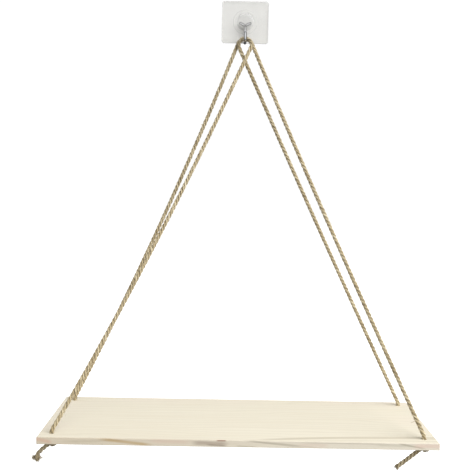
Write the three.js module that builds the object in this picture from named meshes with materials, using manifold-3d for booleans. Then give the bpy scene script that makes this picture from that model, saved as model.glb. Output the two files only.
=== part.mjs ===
// Hanging rope shelf: one board on two jute ropes, hung from a clear adhesive wall hook.
// Units are millimetres. The origin is the centre of the hook's adhesive back on the wall,
// +Z is up, +X is to the right seen from the room, and the room is on the -Y side.

import * as THREE from 'three';
import { mergeVertices } from 'three/addons/utils/BufferGeometryUtils.js';
import Module from 'manifold-3d';

const wasm = await Module();
wasm.setup();

// Board: length along X, depth along Y from the wall, and how far its top hangs below the origin
const BOARD_LENGTH = 450;
const BOARD_DEPTH = 150;
const BOARD_THICKNESS = 8;
const HANG_DROP = 490;
const HOLE_INSET = 14;
const HOLE_CLEARANCE = 0.7;
const HOLE_SEGMENTS = 20;

// Rope: two lengths of laid jute, each knotted under the board at both ends
const ROPE_DIAMETER = 4;
const ROPE_SIDES = 8;
const ARM_STEPS = 40;
const TURN_STEPS = 30;
const TAIL_STEPS = 8;
const ROUTE_DIVISIONS = 4000;

// Rope over the hook: the bend at the top of each rope, and its place along the wire
const OUTER_BEND_RADIUS = 9.5;
const CROSSED_BEND_RADIUS = 8;
const ROPE_SIDE_GAP = 0.8;
const TURN_END_DROP = 15.6;
const PIVOT_GAP = 0.8;

// How far each arm sags below a straight line at its middle, and the rise over which it straightens
const SAG_BACK_LEFT = 12;
const SAG_FRONT_RIGHT = 3;
const SAG_FRONT_LEFT = 21;
const SAG_BACK_RIGHT = 10;
const ENTRY_RISE = 3.2;
const ENTRY_STEPS = 3;

// Stopper knots and the rope tails below them
const KNOT_WIDTH = 9.2;
const KNOT_HEIGHT = 8.2;
const KNOT_WRAP_THICKNESS = 3.4;
const KNOT_WRAP_TILT = THREE.MathUtils.degToRad(32);
const KNOT_ROWS = 8;
const KNOT_SEGMENTS = 20;
const KNOT_WRAP_SIDES = 8;

// Wall plate: adhesive film, clear plate with a round seat, and the clear cap over the hook's head
const PLATE_WIDTH = 60;
const PLATE_HEIGHT = 53;
const PLATE_THICKNESS = 1.8;
const PLATE_CORNER_RADIUS = 3;
const CORNER_SEGMENTS = 8;
const FILM_THICKNESS = 0.5;
const FILM_INSET = 0.8;
const SEAT_MARGIN = 4.5;
const SEAT_HEIGHT = 0.8;
const CAP_DIAMETER = 22;
const CAP_WALL = 1.2;
const CAP_SHOULDER_RADIUS = 3.4;
const CAP_SHOULDER_STEPS = 8;
const CAP_SEGMENTS = 48;

// Steel hook: round wire with two short arms spread inside the cap, and a J that holds the ropes
const WIRE_DIAMETER = 3.6;
const WIRE_SIDES = 12;
const HOOK_BEND_RADIUS = 4.5;
const HOOK_RUN_SIDE_ROOM = 1.3;
const HOOK_RUN_DROP = 27.4;
const HOOK_NECK_DROP = 5;
const HOOK_TIP_RISE = 11.1;
const HEAD_SIDE_ROOM = 1.8;
const HEAD_ARM_RISE = 3;
const HOOK_STEPS = 48;

// Gap left between two pieces that rest on each other
const REST_GAP = 0.3;

// Extra length of a cutting shape past the faces that it cuts
const CUT_OVERRUN = 1;

// Distance under which two corners of a mesh count as one, and to which a cut along a rope is found
const MERGE_TOLERANCE = 1e-4;
const LEVEL_TOLERANCE = 1e-3;

const ropeRadius = ROPE_DIAMETER / 2;
const wireRadius = WIRE_DIAMETER / 2;
const boardTop = -HANG_DROP;
const boardBottom = boardTop - BOARD_THICKNESS;
const plateFront = -FILM_THICKNESS - PLATE_THICKNESS;
const seatFront = plateFront - SEAT_HEIGHT;
const shankY = seatFront - REST_GAP - wireRadius;
const runZ = -HOOK_RUN_DROP;
const apexZ = runZ + wireRadius + REST_GAP + ropeRadius;
const runStartY = shankY - HOOK_BEND_RADIUS;
const outerRopeY = runStartY - HOOK_RUN_SIDE_ROOM - ropeRadius;
const crossedRopeY = outerRopeY - ROPE_DIAMETER - ROPE_SIDE_GAP;
const runEndY = crossedRopeY - ropeRadius - HOOK_RUN_SIDE_ROOM;
const tipY = runEndY - HOOK_BEND_RADIUS;
const turnEndZ = apexZ - TURN_END_DROP;
const knotBottom = boardBottom - REST_GAP - KNOT_HEIGHT;
const seatRadius = CAP_DIAMETER / 2 + SEAT_MARGIN;
const headArmReach = CAP_DIAMETER / 2 - CAP_WALL - HEAD_SIDE_ROOM - wireRadius;

const finishes = {
  wood: { color: 0xe9e0ca, roughness: 0.62, metalness: 0 },
  jute: { color: 0xa8977a, roughness: 0.95, metalness: 0 },
  clear: { color: 0xe3e3df, roughness: 0.25, metalness: 0, transparent: true, opacity: 0.75 },
  film: { color: 0xe9e9e6, roughness: 0.5, metalness: 0, transparent: true, opacity: 0.6 },
  steel: { color: 0xb9bcc0, roughness: 0.18, metalness: 1 },
};

/** Makes one named mesh with its own material. */
function makePiece(name, geometry, finish) {
  const mesh = new THREE.Mesh(geometry, new THREE.MeshStandardMaterial(finishes[finish]));
  mesh.name = name;
  return mesh;
}

/** Turns a closed geometry into a solid that can be joined and cut. */
function toSolid(geometry) {
  const bare = geometry.index ? geometry.toNonIndexed() : geometry.clone();
  bare.deleteAttribute('normal');
  bare.deleteAttribute('uv');
  const merged = mergeVertices(bare, MERGE_TOLERANCE);
  const corners = merged.index.array;
  const triangles = [];
  for (let first = 0; first < corners.length; first += 3) {
    const [a, b, c] = corners.slice(first, first + 3);
    if (a !== b && b !== c && c !== a) triangles.push(a, b, c);
  }
  return new wasm.Manifold(new wasm.Mesh({
    numProp: 3,
    vertProperties: new Float32Array(merged.attributes.position.array),
    triVerts: new Uint32Array(triangles),
  }));
}

/** Turns a solid back into a geometry. */
function fromSolid(solid) {
  const mesh = solid.getMesh();
  const geometry = new THREE.BufferGeometry();
  geometry.setAttribute('position', new THREE.BufferAttribute(mesh.vertProperties, mesh.numProp));
  geometry.setIndex(new THREE.BufferAttribute(mesh.triVerts, 1));
  return geometry;
}

/** A regular polygon of the given radius, as the section of a rope or wire. */
function roundSection(radius, sides) {
  const points = [];
  for (let side = 0; side < sides; side += 1) {
    const angle = (side / sides) * 2 * Math.PI;
    points.push(new THREE.Vector2(radius * Math.cos(angle), radius * Math.sin(angle)));
  }
  return new THREE.Shape(points);
}

/** A closed tube with flat ends along a curve. */
function tubeAlong(curve, radius, sides, steps) {
  return new THREE.ExtrudeGeometry(roundSection(radius, sides), {
    steps,
    bevelEnabled: false,
    extrudePath: curve,
  });
}

/** The stretch of a route between two distances from its start. */
class RouteStretch extends THREE.Curve {
  constructor(route, from, to) {
    super();
    this.route = route;
    this.from = from / route.getLength();
    this.to = to / route.getLength();
  }

  getPoint(t, target = new THREE.Vector3()) {
    return this.route.getPointAt(this.from + (this.to - this.from) * t, target);
  }
}

/** The axis of one rope hole, where it meets the board's top. */
function holeTop(side, row) {
  const x = side * (BOARD_LENGTH / 2 - HOLE_INSET);
  const y = row === 'front' ? -(BOARD_DEPTH - HOLE_INSET) : -HOLE_INSET;
  return new THREE.Vector3(x, y, boardTop);
}

/**
 * The handles of one rope arm: the point above its hole where it turns upright, and the
 * control point of its sag, seen from the centre of the bend over the hook.
 */
function armHandles(arm, ropeY) {
  const turnDown = holeTop(arm.side, arm.row);
  turnDown.z += ENTRY_RISE;
  const middle = new THREE.Vector3(0, ropeY, apexZ).add(turnDown).multiplyScalar(0.5);
  middle.z -= 2 * arm.sag;
  return { turnDown, middle };
}

/** Angle from the top of the bend at which the rope leaves it towards a point on a given side. */
function leavingAngle(handles, bendRadius, bendCentreZ, bendSide) {
  const across = bendSide * handles.middle.x;
  const down = handles.middle.z - bendCentreZ;
  let towards = Math.atan2(across, down);
  if (towards < 0) towards += 2 * Math.PI;
  return towards - Math.acos(bendRadius / Math.hypot(across, down));
}

/** Points of one arm from where it leaves the bend to the underside of the board. */
function armPoints(start, handles, arm) {
  const sagCurve = new THREE.QuadraticBezierCurve3(start, handles.middle, handles.turnDown);
  const bendStart = 1 - ENTRY_RISE / sagCurve.getLength();
  const points = [];
  for (let step = 1; step < ARM_STEPS; step += 1) {
    points.push(sagCurve.getPointAt(bendStart * (step / (ARM_STEPS - 1))));
  }
  const hole = holeTop(arm.side, arm.row);
  const entry = new THREE.QuadraticBezierCurve3(points.at(-1), handles.turnDown, hole);
  points.push(...entry.getPoints(ENTRY_STEPS).slice(1));
  points.push(new THREE.Vector3(hole.x, hole.y, (boardTop + boardBottom) / 2));
  points.push(new THREE.Vector3(hole.x, hole.y, boardBottom));
  return points;
}

/**
 * The centre line of one rope from under the board, up over the hook and down again.
 * bendSide is +1 where the first arm leaves the bend on its own side, and -1 where the
 * arms cross below the hook.
 */
function ropeRoute(rope) {
  const bendCentreZ = apexZ - rope.bendRadius;
  const ends = rope.arms.map((arm) => {
    const handles = armHandles(arm, rope.y);
    const bendSide = rope.crossed ? -arm.side : arm.side;
    const angle = leavingAngle(handles, rope.bendRadius, bendCentreZ, bendSide);
    return { arm, handles, bendSide, angle };
  });
  const [first, last] = ends;
  // Along the bend the rope drifts towards the room, so that it leaves in line with each arm
  const bendLength = rope.bendRadius * (first.angle + last.angle);
  const drift = (end) => {
    const reach = new THREE.Vector3(0, rope.y, apexZ).distanceTo(end.handles.middle);
    return (end.handles.middle.y - rope.y) / reach;
  };
  const firstDrift = -drift(first);
  const lastDrift = drift(last);
  const bendPoint = (angle) => {
    const travelled = rope.bendRadius * (angle + first.angle);
    const atTop = rope.bendRadius * first.angle;
    const drifted = (s) => firstDrift * s + ((lastDrift - firstDrift) * s * s) / (2 * bendLength);
    return new THREE.Vector3(
      last.bendSide * rope.bendRadius * Math.sin(angle),
      rope.y + drifted(travelled) - drifted(atTop),
      bendCentreZ + rope.bendRadius * Math.cos(angle),
    );
  };
  const bend = [];
  for (let step = 0; step <= TURN_STEPS; step += 1) {
    bend.push(bendPoint(-first.angle + (first.angle + last.angle) * (step / TURN_STEPS)));
  }
  const firstArm = armPoints(bend[0], first.handles, first.arm).reverse();
  const lastArm = armPoints(bend.at(-1), last.handles, last.arm);
  const route = new THREE.CatmullRomCurve3([...firstArm, ...bend, ...lastArm], false, 'centripetal');
  route.arcLengthDivisions = ROUTE_DIVISIONS;
  return route;
}

/** Distances along a route at which it passes the level where the turn ends, on both sides. */
function turnEnds(route) {
  const length = route.getLength();
  const levelAt = (distance) => route.getPointAt(distance / length).z - turnEndZ;
  const crossing = (low, high) => {
    let [below, above] = [low, high];
    while (Math.abs(above - below) > LEVEL_TOLERANCE) {
      const middle = (below + above) / 2;
      if (levelAt(middle) < 0) below = middle;
      else above = middle;
    }
    return (below + above) / 2;
  };
  return [crossing(0, length / 2), crossing(length, length / 2)];
}

/** The least gap between stretches of one rope that are not next to each other. */
function leastGap(route) {
  const spacing = ROPE_DIAMETER / 2;
  const points = route.getSpacedPoints(Math.round(route.getLength() / spacing));
  const apart = Math.ceil((Math.PI * ROPE_DIAMETER) / spacing);
  let least = Infinity;
  for (let a = 0; a < points.length; a += 1) {
    for (let b = a + apart; b < points.length; b += 1) {
      least = Math.min(least, points[a].distanceTo(points[b]) - ROPE_DIAMETER);
    }
  }
  return least;
}

/** A stopper knot under one hole: a rounded barrel with the rope's outer wrap lying across it. */
function knotGeometry(hole, tilt) {
  const half = KNOT_HEIGHT / 2;
  const barrelRadius = (KNOT_WIDTH - KNOT_WRAP_THICKNESS / 2) / 2;
  const profile = [new THREE.Vector2(0, -half)];
  for (let row = 1; row < KNOT_ROWS; row += 1) {
    const angle = (row / KNOT_ROWS - 1 / 2) * Math.PI;
    const radius = barrelRadius * Math.sqrt(Math.cos(angle));
    profile.push(new THREE.Vector2(radius, half * Math.sin(angle)));
  }
  profile.push(new THREE.Vector2(0, half));
  const barrel = new THREE.LatheGeometry(profile, KNOT_SEGMENTS);
  barrel.rotateX(Math.PI / 2);
  const wrapRadius = KNOT_WRAP_THICKNESS / 2;
  const wrap = new THREE.TorusGeometry(
    KNOT_WIDTH / 2 - wrapRadius, wrapRadius, KNOT_WRAP_SIDES, KNOT_SEGMENTS,
  );
  wrap.rotateX(tilt);
  wrap.rotateZ(tilt);
  const knot = fromSolid(toSolid(barrel).add(toSolid(wrap)));
  knot.translate(hole.x, hole.y, knotBottom + half);
  return knot;
}

/** The board, with one hole at each corner for the ropes. */
function boardGeometry() {
  const outline = new THREE.Shape();
  outline.moveTo(-BOARD_LENGTH / 2, -BOARD_DEPTH);
  outline.lineTo(BOARD_LENGTH / 2, -BOARD_DEPTH);
  outline.lineTo(BOARD_LENGTH / 2, 0);
  outline.lineTo(-BOARD_LENGTH / 2, 0);
  outline.closePath();
  for (const side of [-1, 1]) {
    for (const row of ['front', 'back']) {
      const place = holeTop(side, row);
      const hole = new THREE.Path();
      hole.absarc(place.x, place.y, ropeRadius + HOLE_CLEARANCE, 0, 2 * Math.PI, true);
      outline.holes.push(hole);
    }
  }
  const board = new THREE.ExtrudeGeometry(outline, {
    depth: BOARD_THICKNESS,
    bevelEnabled: false,
    curveSegments: HOLE_SEGMENTS,
  });
  board.translate(0, 0, boardBottom);
  return board;
}

/** A plate of the given size with rounded corners, standing against the wall from y to y - depth. */
function roundedPlate(width, height, corner, y, depth) {
  const outline = new THREE.Shape();
  const [right, top] = [width / 2 - corner, height / 2 - corner];
  outline.absarc(right, top, corner, 0, Math.PI / 2, false);
  outline.absarc(-right, top, corner, Math.PI / 2, Math.PI, false);
  outline.absarc(-right, -top, corner, Math.PI, 1.5 * Math.PI, false);
  outline.absarc(right, -top, corner, 1.5 * Math.PI, 2 * Math.PI, false);
  const plate = new THREE.ExtrudeGeometry(outline, {
    depth,
    bevelEnabled: false,
    curveSegments: CORNER_SEGMENTS,
  });
  plate.rotateX(Math.PI / 2);
  plate.translate(0, y, 0);
  return plate;
}

/** The clear plate with its raised round seat. */
function plateGeometry() {
  const plate = roundedPlate(
    PLATE_WIDTH, PLATE_HEIGHT, PLATE_CORNER_RADIUS, -FILM_THICKNESS, PLATE_THICKNESS,
  );
  const seatDepth = SEAT_HEIGHT + PLATE_THICKNESS / 2;
  const seat = new THREE.CylinderGeometry(seatRadius, seatRadius, seatDepth, CAP_SEGMENTS);
  seat.translate(0, seatFront + seatDepth / 2, 0);
  return fromSolid(toSolid(plate).add(toSolid(seat)));
}

/** The outline of a domed cup about the Y axis, from its centre to its rim. */
function domeProfile(radius, height, shoulder) {
  const points = [new THREE.Vector2(0, height)];
  for (let step = 0; step <= CAP_SHOULDER_STEPS; step += 1) {
    const angle = (step / CAP_SHOULDER_STEPS) * (Math.PI / 2);
    points.push(new THREE.Vector2(
      radius - shoulder + shoulder * Math.sin(angle),
      height - shoulder + shoulder * Math.cos(angle),
    ));
  }
  points.push(new THREE.Vector2(radius, 0));
  return points;
}

/** The clear cap: a cup open towards the seat, with a slot at the bottom where the wire comes out. */
function capGeometry() {
  const roomDepth = WIRE_DIAMETER + 2 * REST_GAP;
  const outer = domeProfile(CAP_DIAMETER / 2, roomDepth + CAP_WALL, CAP_SHOULDER_RADIUS);
  const inner = domeProfile(CAP_DIAMETER / 2 - CAP_WALL, roomDepth, CAP_SHOULDER_RADIUS - CAP_WALL);
  const cup = new THREE.LatheGeometry([...inner, ...outer.reverse()], CAP_SEGMENTS);
  const slotWidth = WIRE_DIAMETER + 2 * REST_GAP;
  const slotDepth = roomDepth + CUT_OVERRUN;
  const slot = new THREE.BoxGeometry(slotWidth, slotDepth, CAP_DIAMETER / 2);
  slot.translate(0, slotDepth / 2 - CUT_OVERRUN, CAP_DIAMETER / 2);
  const cap = fromSolid(toSolid(cup).subtract(toSolid(slot)));
  cap.rotateX(Math.PI);
  cap.translate(0, seatFront, 0);
  return cap;
}

/** The centre line of the hook's wire from the neck under the cap to the upturned tip. */
function hookRoute() {
  const at = (y, z) => new THREE.Vector3(0, y, z);
  const bendZ = runZ + HOOK_BEND_RADIUS;
  const route = new THREE.CurvePath();
  const bendHandle = HOOK_BEND_RADIUS * (4 / 3) * Math.tan(Math.PI / 8);
  route.add(new THREE.LineCurve3(at(shankY, -HOOK_NECK_DROP), at(shankY, bendZ)));
  route.add(new THREE.CubicBezierCurve3(
    at(shankY, bendZ), at(shankY, bendZ - bendHandle),
    at(runStartY + bendHandle, runZ), at(runStartY, runZ),
  ));
  route.add(new THREE.LineCurve3(at(runStartY, runZ), at(runEndY, runZ)));
  route.add(new THREE.CubicBezierCurve3(
    at(runEndY, runZ), at(runEndY - bendHandle, runZ),
    at(tipY, bendZ - bendHandle), at(tipY, bendZ),
  ));
  route.add(new THREE.LineCurve3(at(tipY, bendZ), at(tipY, runZ + HOOK_TIP_RISE - wireRadius)));
  return route;
}

/** The steel hook: the J of wire, its rounded tip, and the two head arms that the cap holds. */
function hookGeometry() {
  const route = hookRoute();
  const ball = (place) => {
    const sphere = new THREE.SphereGeometry(wireRadius, WIRE_SIDES, WIRE_SIDES / 2);
    sphere.translate(place.x, place.y, place.z);
    return toSolid(sphere);
  };
  const neck = new THREE.Vector3(0, shankY, -HOOK_NECK_DROP);
  let hook = toSolid(tubeAlong(route, wireRadius, WIRE_SIDES, HOOK_STEPS));
  hook = hook.add(ball(neck)).add(ball(route.getPoint(1)));
  for (const side of [-1, 1]) {
    const armEnd = new THREE.Vector3(side * headArmReach, shankY, HEAD_ARM_RISE - HOOK_NECK_DROP);
    const arm = tubeAlong(new THREE.LineCurve3(neck, armEnd), wireRadius, WIRE_SIDES, 1);
    hook = hook.add(toSolid(arm)).add(ball(armEnd));
  }
  return fromSolid(hook);
}

// Rope tails, as points chosen by hand in millimetres, measured from the hole's axis and the
// underside of the knot
const tailPoints = {
  front_left: [
    [-2.5, -2, -0.1], [-6.5, -2.6, -2.3], [-10.5, -3.2, -4.7], [-13.6, -3.6, -7.9], [-15.4, -4, -11.9],
  ],
  front_right: [
    [-2.8, -1.9, 0.35], [-9.6, -2.4, -4.3], [-17, -2.8, -9.3], [-24, -3.2, -14.4], [-30.6, -3.6, -19.7],
  ],
  back_left: [
    [1.2, -1.4, -0.4], [3.4, -2.2, -5.5], [5.2, -2.8, -10.7], [6.2, -3.4, -16.5], [6.8, -3.8, -22.5],
  ],
  back_right: [
    [-0.8, -1.3, -0.7], [0.9, -2.3, -5.5], [3.8, -3, -10.1], [7.4, -3.4, -14.5], [11.4, -3.6, -18.5],
  ],
};

const ropes = [
  {
    name: 'outer_rope',
    crossed: false,
    bendRadius: OUTER_BEND_RADIUS,
    y: outerRopeY,
    arms: [
      { corner: 'back_left', side: -1, row: 'back', sag: SAG_BACK_LEFT },
      { corner: 'front_right', side: 1, row: 'front', sag: SAG_FRONT_RIGHT },
    ],
  },
  {
    name: 'crossed_rope',
    crossed: true,
    bendRadius: CROSSED_BEND_RADIUS,
    y: crossedRopeY,
    arms: [
      { corner: 'back_right', side: 1, row: 'back', sag: SAG_BACK_RIGHT },
      { corner: 'front_left', side: -1, row: 'front', sag: SAG_FRONT_LEFT },
    ],
  },
];

/** The wall hook, which stays on the wall. */
function buildWallHook() {
  const group = new THREE.Group();
  const filmWidth = PLATE_WIDTH - 2 * FILM_INSET;
  const filmHeight = PLATE_HEIGHT - 2 * FILM_INSET;
  const filmCorner = PLATE_CORNER_RADIUS - FILM_INSET;
  const film = roundedPlate(filmWidth, filmHeight, filmCorner, 0, FILM_THICKNESS);
  group.add(makePiece('adhesive_film', film, 'film'));
  group.add(makePiece('hook_plate', plateGeometry(), 'clear'));
  group.add(makePiece('hook_cap', capGeometry(), 'clear'));
  group.add(makePiece('steel_hook', hookGeometry(), 'steel'));
  return group;
}

/** A stretch of rope as a closed tube. */
function ropePiece(name, curve, steps) {
  return makePiece(name, tubeAlong(curve, ropeRadius, ROPE_SIDES, steps), 'jute');
}

/** One rope: its turn over the hook, its two arms, and the knot and tail at each end. */
function buildRope(rope) {
  const group = new THREE.Group();
  const route = ropeRoute(rope);
  const length = route.getLength();
  const [turnStart, turnEnd] = turnEnds(route);
  group.add(ropePiece(`${rope.name}_turn`, new RouteStretch(route, turnStart, turnEnd), TURN_STEPS));
  const stretches = [[0, turnStart - PIVOT_GAP], [turnEnd + PIVOT_GAP, length]];
  rope.arms.forEach((arm, index) => {
    const line = new RouteStretch(route, ...stretches[index]);
    group.add(ropePiece(`rope_arm_${arm.corner}`, line, ARM_STEPS));
    const hole = holeTop(arm.side, arm.row);
    const knot = knotGeometry(hole, arm.side * KNOT_WRAP_TILT);
    group.add(makePiece(`knot_${arm.corner}`, knot, 'jute'));
    const points = tailPoints[arm.corner].map(([x, y, z]) => (
      new THREE.Vector3(hole.x + x, hole.y + y, knotBottom + z)
    ));
    group.add(ropePiece(`tail_${arm.corner}`, new THREE.CatmullRomCurve3(points), TAIL_STEPS));
  });
  const gap = leastGap(route).toFixed(2);
  console.log(`${rope.name}: ${length.toFixed(0)} mm between its knots, least gap ${gap} mm`);
  return group;
}

const shelf = new THREE.Group();
shelf.add(buildWallHook());
for (const rope of ropes) shelf.add(buildRope(rope));
shelf.add(makePiece('board', boardGeometry(), 'wood'));

export default shelf;
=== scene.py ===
"""Looks of the hanging rope shelf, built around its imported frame.

A thin pale board hangs by two laid jute ropes from a clear adhesive wall hook. Lengths are in
metres in the frame's own axes: the wall is the plane Y = 0, the room is on the -Y side, +X is to
the right seen from the room and +Z is up.
"""

from __future__ import annotations

import logging
import math
import random
from dataclasses import dataclass
from enum import Enum
from typing import Any, Iterable, Sequence

import bmesh
import bpy
import numpy as np
from mathutils import Matrix, Vector, noise

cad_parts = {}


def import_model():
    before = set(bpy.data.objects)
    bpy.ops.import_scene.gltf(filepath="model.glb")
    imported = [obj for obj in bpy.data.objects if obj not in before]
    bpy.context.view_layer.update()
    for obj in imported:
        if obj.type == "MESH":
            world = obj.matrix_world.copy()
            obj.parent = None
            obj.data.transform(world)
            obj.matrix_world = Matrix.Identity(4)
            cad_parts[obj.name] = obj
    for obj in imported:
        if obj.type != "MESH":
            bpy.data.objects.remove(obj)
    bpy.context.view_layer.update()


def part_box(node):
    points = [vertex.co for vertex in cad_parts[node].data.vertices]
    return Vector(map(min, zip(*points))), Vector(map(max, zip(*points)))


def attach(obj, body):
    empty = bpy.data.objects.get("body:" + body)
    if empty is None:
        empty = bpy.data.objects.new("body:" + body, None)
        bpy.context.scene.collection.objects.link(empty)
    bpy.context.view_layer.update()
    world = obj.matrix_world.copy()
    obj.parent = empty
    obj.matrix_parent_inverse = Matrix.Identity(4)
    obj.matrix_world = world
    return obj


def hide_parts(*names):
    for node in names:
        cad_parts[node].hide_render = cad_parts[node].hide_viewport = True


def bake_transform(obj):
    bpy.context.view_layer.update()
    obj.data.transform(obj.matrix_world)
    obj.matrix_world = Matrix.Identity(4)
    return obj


log = logging.getLogger("rope_shelf")

MM = 0.001
Colour = Place = tuple[float, float, float]
Material = bpy.types.Material
Piece = bpy.types.Object
Shape = bmesh.types.BMesh


class Corner(Enum):
    """One rope hole of the board: its side (1 is right) and its row (1 is by the wall)."""

    FRONT_LEFT = (-1, 0)
    FRONT_RIGHT = (1, 0)
    BACK_LEFT = (-1, 1)
    BACK_RIGHT = (1, 1)

    @property
    def label(self) -> str:
        """The corner's name as the nodes write it."""
        return self.name.lower()


class Slot(Enum):
    """The record's material slots."""

    FILM = "adhesive_film"
    CLEAR = "clear_plastic"
    STEEL = "steel"
    JUTE = "jute_rope"
    WOOD = "wood_board"


@dataclass(frozen=True)
class RopeSizes:
    """Sizes that both ropes share."""

    diameter: float = 4 * MM
    hole_inset: float = 14 * MM
    entry_rise: float = 3.2 * MM
    side_gap: float = 0.8 * MM
    turn_end_drop: float = 15.6 * MM

    @property
    def radius(self) -> float:
        """Half the rope's diameter."""
        return self.diameter / 2


@dataclass(frozen=True)
class HookSizes:
    """The wall hook's sizes."""

    plate_width: float = 60 * MM
    plate_height: float = 53 * MM
    plate_thickness: float = 1.8 * MM
    plate_corner: float = 3 * MM
    film_thickness: float = 0.5 * MM
    seat_height: float = 0.8 * MM
    seat_margin: float = 4.5 * MM
    cap_diameter: float = 22 * MM
    cap_wall: float = 1.2 * MM
    cap_shoulder: float = 3.4 * MM
    wire_diameter: float = 3.6 * MM
    bend_radius: float = 4.5 * MM
    run_drop: float = 27.4 * MM
    run_side_room: float = 1.3 * MM
    neck_drop: float = 5 * MM
    tip_rise: float = 11.1 * MM
    head_side_room: float = 1.8 * MM
    head_arm_rise: float = 3 * MM
    rest_gap: float = 0.3 * MM

    @property
    def cap_radius(self) -> float:
        """Half the cap's diameter."""
        return self.cap_diameter / 2

    @property
    def seat_radius(self) -> float:
        """Radius of the raised seat, which reaches past the cap all round."""
        return self.cap_radius + self.seat_margin

    @property
    def wire_radius(self) -> float:
        """Half the wire's diameter."""
        return self.wire_diameter / 2

    @property
    def plate_front(self) -> float:
        """Y of the plate's front face."""
        return -self.film_thickness - self.plate_thickness

    @property
    def seat_front(self) -> float:
        """Y of the raised seat's front face."""
        return self.plate_front - self.seat_height

    @property
    def shank_y(self) -> float:
        """Y of the wire's centre where it hangs down the plate."""
        return self.seat_front - self.rest_gap - self.wire_radius

    @property
    def head_reach(self) -> float:
        """How far each head arm reaches sideways inside the cap."""
        return self.cap_radius - self.cap_wall - self.head_side_room - self.wire_radius

    @property
    def rope_top(self) -> float:
        """Z of a rope's centre where it lies on the wire."""
        return -self.run_drop + self.wire_radius + self.rest_gap + ROPE.radius

    def rope_y(self, crossed: bool) -> float:
        """Y of the outer or the crossed rope's centre where it lies on the wire."""
        outer = self.shank_y - self.bend_radius - self.run_side_room - ROPE.radius
        return outer - crossed * (ROPE.diameter + ROPE.side_gap)


ROPE = RopeSizes()
HOOK = HookSizes()


# Shader graphs


class Signal:
    """A shader socket in a sum: each operator on it adds one Math node."""

    def __init__(self, graph: NodeGraph, socket: bpy.types.NodeSocket) -> None:
        """Keeps the graph that new nodes go into, and the socket itself."""
        self.graph, self.socket = graph, socket

    def _math(self, operation: str, *values: Signal | float) -> Signal:
        """Adds one Math node."""
        return self.graph.add("ShaderNodeMath", {"operation": operation}, dict(enumerate(values)))

    def __add__(self, other: Signal | float) -> Signal:
        """This plus another."""
        return self._math("ADD", self, other)

    def __sub__(self, other: Signal | float) -> Signal:
        """This less another."""
        return self._math("SUBTRACT", self, other)

    def __rsub__(self, other: float) -> Signal:
        """A number less this."""
        return self._math("SUBTRACT", other, self)

    def __mul__(self, other: Signal | float) -> Signal:
        """This times another."""
        return self._math("MULTIPLY", self, other)

    def __truediv__(self, other: Signal | float) -> Signal:
        """This over another."""
        return self._math("DIVIDE", self, other)

    __radd__ = __add__
    __rmul__ = __mul__

    def fraction(self) -> Signal:
        """What this is past the last whole number."""
        return self._math("FRACT", self)

    def size(self) -> Signal:
        """This without its sign."""
        return self._math("ABSOLUTE", self)

    def step(self, low: float, high: float) -> Signal:
        """A smooth step from 0 at low to 1 at high; low may be above high."""
        if low > high:
            return 1 - self.step(high, low)
        return self._ranged("SMOOTHSTEP", low, high)

    def ramp(self, low: float, high: float) -> Signal:
        """A straight ramp from 0 at low to 1 at high."""
        return self._ranged("LINEAR", low, high)

    def line(self, half_width: float) -> Signal:
        """A soft line, 1 where this is near zero and 0 away from it."""
        return self.size().step(half_width * 1.5, half_width * 0.3)

    def _ranged(self, kind: str, low: float, high: float) -> Signal:
        """Adds one Map Range node."""
        inputs = {"Value": self, "From Min": low, "From Max": high}
        return self.graph.add("ShaderNodeMapRange", {"interpolation_type": kind}, inputs)


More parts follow.
